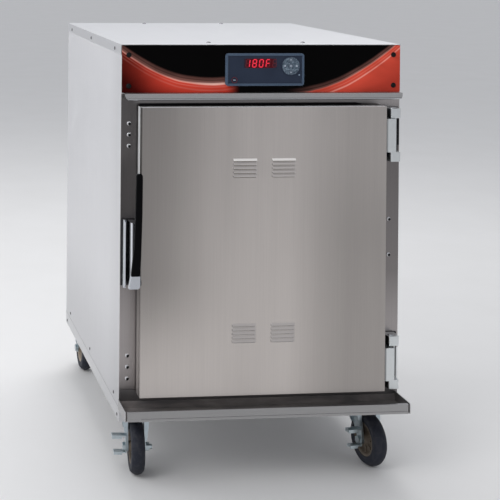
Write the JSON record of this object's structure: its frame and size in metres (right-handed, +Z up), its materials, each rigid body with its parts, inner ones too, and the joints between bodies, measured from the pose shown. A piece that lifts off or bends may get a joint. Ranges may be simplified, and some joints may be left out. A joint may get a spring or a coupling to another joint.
{
  "type": "insulated food holding cabinet",
  "caption": "Half-height insulated hot holding cabinet on casters, with a side-hung louvred door, pull latch, top-mounted controller and blower, pan ledges and a front drip trough.",
  "frame": {"origin": "on the floor, under the middle of the cabinet's overall footprint", "axes": "+X to the right seen from the front, +Y towards the back, +Z up; the door is on the -Y side"},
  "size_m": [0.7052, 0.9076, 1.04],
  "materials": {
    "brushed_sheet": "satin brushed stainless sheet",
    "door_sheet": "vertically brushed stainless sheet",
    "frame_sheet": "brushed stainless sheet",
    "liner_sheet": "bright satin stainless",
    "rack_wire": "satin",
    "cast_zinc": "satin cast",
    "chrome": "polished",
    "zinc_plate": "bright zinc plated",
    "steel_pin": "ground",
    "black_screw": "black oxide",
    "bush": "moulded nylon",
    "fascia": "gloss printed overlay, black with red sweeps",
    "bezel": "fine satin slate",
    "keys": "satin",
    "display": "tinted window",
    "board": "printed circuit board",
    "black_plastic": "fine texture",
    "cord": "matt",
    "gasket": "silicone",
    "batt": "glass fibre batt",
    "heater": "oxidised sheath",
    "motor": "black enamel",
    "wheel_alu": "mill",
    "hub": "moulded polyolefin",
    "tyre": "non-marking rubber"
  },
  "bodies": {
    "cabinet": {"base_frame": "brushed_sheet", "drip_trough": "brushed_sheet", "left_side_panel": "brushed_sheet", "right_side_panel": "brushed_sheet", "rear_panel": "brushed_sheet", "top_cover": "brushed_sheet", "front_frame": "frame_sheet", "front_sill": "frame_sheet", "cavity_liner": "liner_sheet", "pan_racks": "rack_wire", "air_baffle": "liner_sheet", "blower_motor": "motor", "heater_element": "heater", "temperature_probe": "steel_pin", "insulation_batts": "batt", "drip_gutter": "brushed_sheet", "control_panel": "brushed_sheet", "fascia_overlay": "fascia", "controller_bezel": "bezel", "display_window": "display", "control_board": "board", "fascia_screws": "black_screw", "casing_screws": "steel_pin", "jamb_plug_screws": "steel_pin", "power_cord": "cord", "hinge_frame_leaves": "cast_zinc", "hinge_pins": "steel_pin", "latch_strike": "chrome", "caster_plates": "zinc_plate", "caster_bolts": "zinc_plate"},
    "door": {"door_skin": "door_sheet", "door_liner": "liner_sheet", "door_insulation": "batt", "door_gasket": "gasket", "hinge_door_leaves": "cast_zinc", "hinge_bushes": "bush", "latch_body": "chrome", "latch_pin": "steel_pin"},
    "latch_handle": {"latch_lever": "chrome", "handle_grip": "black_plastic"},
    "up_key": {"key_up": "keys"},
    "down_key": {"key_down": "keys"},
    "enter_key": {"key_enter": "keys"},
    "power_button": {"power_key": "bezel"},
    "blower": {"blower_wheel": "wheel_alu", "motor_shaft": "steel_pin"},
    "swivel_fl": {"caster_fork_fl": "zinc_plate"},
    "swivel_fr": {"caster_fork_fr": "zinc_plate"},
    "swivel_rl": {"caster_fork_rl": "zinc_plate"},
    "swivel_rr": {"caster_fork_rr": "zinc_plate"},
    "wheel_fl": {"caster_hub_fl": "hub", "caster_tyre_fl": "tyre"},
    "wheel_fr": {"caster_hub_fr": "hub", "caster_tyre_fr": "tyre"},
    "wheel_rl": {"caster_hub_rl": "hub", "caster_tyre_rl": "tyre"},
    "wheel_rr": {"caster_hub_rr": "hub", "caster_tyre_rr": "tyre"},
    "brake_fl": {"caster_brake_fl": "zinc_plate"},
    "brake_fr": {"caster_brake_fr": "zinc_plate"}
  },
  "joints": [
    {"name": "door_hinge", "type": "hinge", "parent": "cabinet", "child": "door", "pos_m": [0.316, -0.38, 0.5], "axis": [0, 0, 1], "range_deg": [0, 180]},
    {"name": "latch_pull", "type": "hinge", "parent": "door", "child": "latch_handle", "pos_m": [-0.32, -0.407, 0.484], "axis": [1, 0, 0], "range_deg": [0, 14], "stiffness_Nm_per_rad": 1.5},
    {"name": "up_key_press", "type": "slide", "parent": "cabinet", "child": "up_key", "axis": [0, 1, 0], "range_m": [0, 0.0006], "stiffness_N_per_m": 800},
    {"name": "down_key_press", "type": "slide", "parent": "cabinet", "child": "down_key", "axis": [0, 1, 0], "range_m": [0, 0.0006], "stiffness_N_per_m": 800},
    {"name": "enter_key_press", "type": "slide", "parent": "cabinet", "child": "enter_key", "axis": [0, 1, 0], "range_m": [0, 0.0006], "stiffness_N_per_m": 800},
    {"name": "power_key_press", "type": "slide", "parent": "cabinet", "child": "power_button", "axis": [0, 1, 0], "range_m": [0, 0.0006], "stiffness_N_per_m": 800},
    {"name": "blower_spin", "type": "hinge", "parent": "cabinet", "child": "blower", "pos_m": [0, -0.009, 0.85], "axis": [0, 0, 1], "continuous": true},
    {"name": "swivel_fl_turn", "type": "hinge", "parent": "cabinet", "child": "swivel_fl", "pos_m": [-0.293, -0.29, 0.145], "axis": [0, 0, 1], "continuous": true},
    {"name": "swivel_fr_turn", "type": "hinge", "parent": "cabinet", "child": "swivel_fr", "pos_m": [0.284, -0.29, 0.145], "axis": [0, 0, 1], "continuous": true},
    {"name": "swivel_rl_turn", "type": "hinge", "parent": "cabinet", "child": "swivel_rl", "pos_m": [-0.293, 0.354, 0.145], "axis": [0, 0, 1], "continuous": true},
    {"name": "swivel_rr_turn", "type": "hinge", "parent": "cabinet", "child": "swivel_rr", "pos_m": [0.293, 0.354, 0.145], "axis": [0, 0, 1], "continuous": true},
    {"name": "wheel_fl_roll", "type": "hinge", "parent": "swivel_fl", "child": "wheel_fl", "pos_m": [-0.29635, -0.32183, 0.0635], "axis": [0.9945, -0.1045, 0], "continuous": true},
    {"name": "wheel_fr_roll", "type": "hinge", "parent": "swivel_fr", "child": "wheel_fr", "pos_m": [0.28879, -0.32164, 0.0635], "axis": [0.9888, 0.1495, 0], "continuous": true},
    {"name": "wheel_rl_roll", "type": "hinge", "parent": "swivel_rl", "child": "wheel_rl", "pos_m": [-0.293, 0.386, 0.0635], "axis": [1, 0, 0], "continuous": true},
    {"name": "wheel_rr_roll", "type": "hinge", "parent": "swivel_rr", "child": "wheel_rr", "pos_m": [0.293, 0.386, 0.0635], "axis": [1, 0, 0], "continuous": true},
    {"name": "brake_fl_rock", "type": "hinge", "parent": "swivel_fl", "child": "brake_fl", "pos_m": [-0.32091, -0.31924, 0.0635], "axis": [0.9945, -0.1045, 0], "range_deg": [0, 16]},
    {"name": "brake_fr_rock", "type": "hinge", "parent": "swivel_fr", "child": "brake_fr", "pos_m": [0.26436, -0.32533, 0.0635], "axis": [0.9888, 0.1495, 0], "range_deg": [0, 16]}
  ]
}
